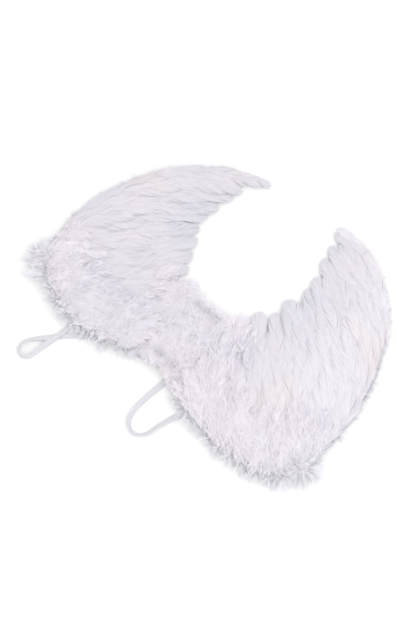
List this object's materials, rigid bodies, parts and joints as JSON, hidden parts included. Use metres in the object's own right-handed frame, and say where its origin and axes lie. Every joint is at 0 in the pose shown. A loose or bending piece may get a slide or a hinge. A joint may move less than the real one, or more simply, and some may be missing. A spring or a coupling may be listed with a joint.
{
  "type": "fairy wings",
  "caption": "Pair of white feather costume wings with marabou trim, hinged to a middle section that carries two elastic shoulder loops.",
  "frame": {"origin": "centre of the back pad's outer face, which rests on the wearer's back, between the two wings", "axes": "+Y to the wing tips, +X to the right wing as seen from the feather side with the tips up, +Z out of the feather side"},
  "size_m": [0.6, 0.5025, 0.0226],
  "materials": {
    "feather": "soft satin vanes with fine barbs",
    "down": "fluffy matt down",
    "marabou": "fluffy matt marabou barbs",
    "fringe": "thin matt barbs",
    "felt": "matt pressed felt",
    "board": "stiff grey-white fibre board, matt",
    "wire": "drawn steel wire",
    "tape": "plain woven cotton tape",
    "cord": "twisted cotton cord",
    "elastic": "ribbed knitted elastic, matt"
  },
  "bodies": {
    "centre": {"back_pad": "felt", "centre_board": "board", "centre_down": "down", "centre_top_marabou": "marabou", "centre_base_marabou": "marabou", "left_hinge_tape": "tape", "right_hinge_tape": "tape", "left_strap_tabs": "tape", "right_strap_tabs": "tape", "left_strap": "elastic", "right_strap": "elastic"},
    "left_wing": {"left_back_felt": "felt", "left_wing_board": "board", "left_frame_wire": "wire", "left_wire_tapes": "tape", "left_hinge_flap": "tape", "left_primary_feathers": "feather", "left_secondary_feathers": "feather", "left_tertiary_feathers": "feather", "left_covert_feathers": "feather", "left_shoulder_feathers": "feather", "left_wing_down": "down", "left_base_marabou": "marabou", "left_boa_cord": "cord", "left_corner_tuft": "marabou", "left_edge_fringe": "fringe"},
    "right_wing": {"right_back_felt": "felt", "right_wing_board": "board", "right_frame_wire": "wire", "right_wire_tapes": "tape", "right_hinge_flap": "tape", "right_primary_feathers": "feather", "right_secondary_feathers": "feather", "right_tertiary_feathers": "feather", "right_covert_feathers": "feather", "right_shoulder_feathers": "feather", "right_wing_down": "down", "right_base_marabou": "marabou", "right_boa_cord": "cord", "right_corner_tuft": "marabou", "right_edge_fringe": "fringe"}
  },
  "joints": [
    {"name": "left_wing_fold", "type": "hinge", "parent": "centre", "child": "left_wing", "pos_m": [-0.032, 0, 0.0038], "axis": [0, 1, 0], "range_deg": [0, 85]},
    {"name": "right_wing_fold", "type": "hinge", "parent": "centre", "child": "right_wing", "pos_m": [0.032, 0, 0.0038], "axis": [0, -1, 0], "range_deg": [0, 85]}
  ]
}
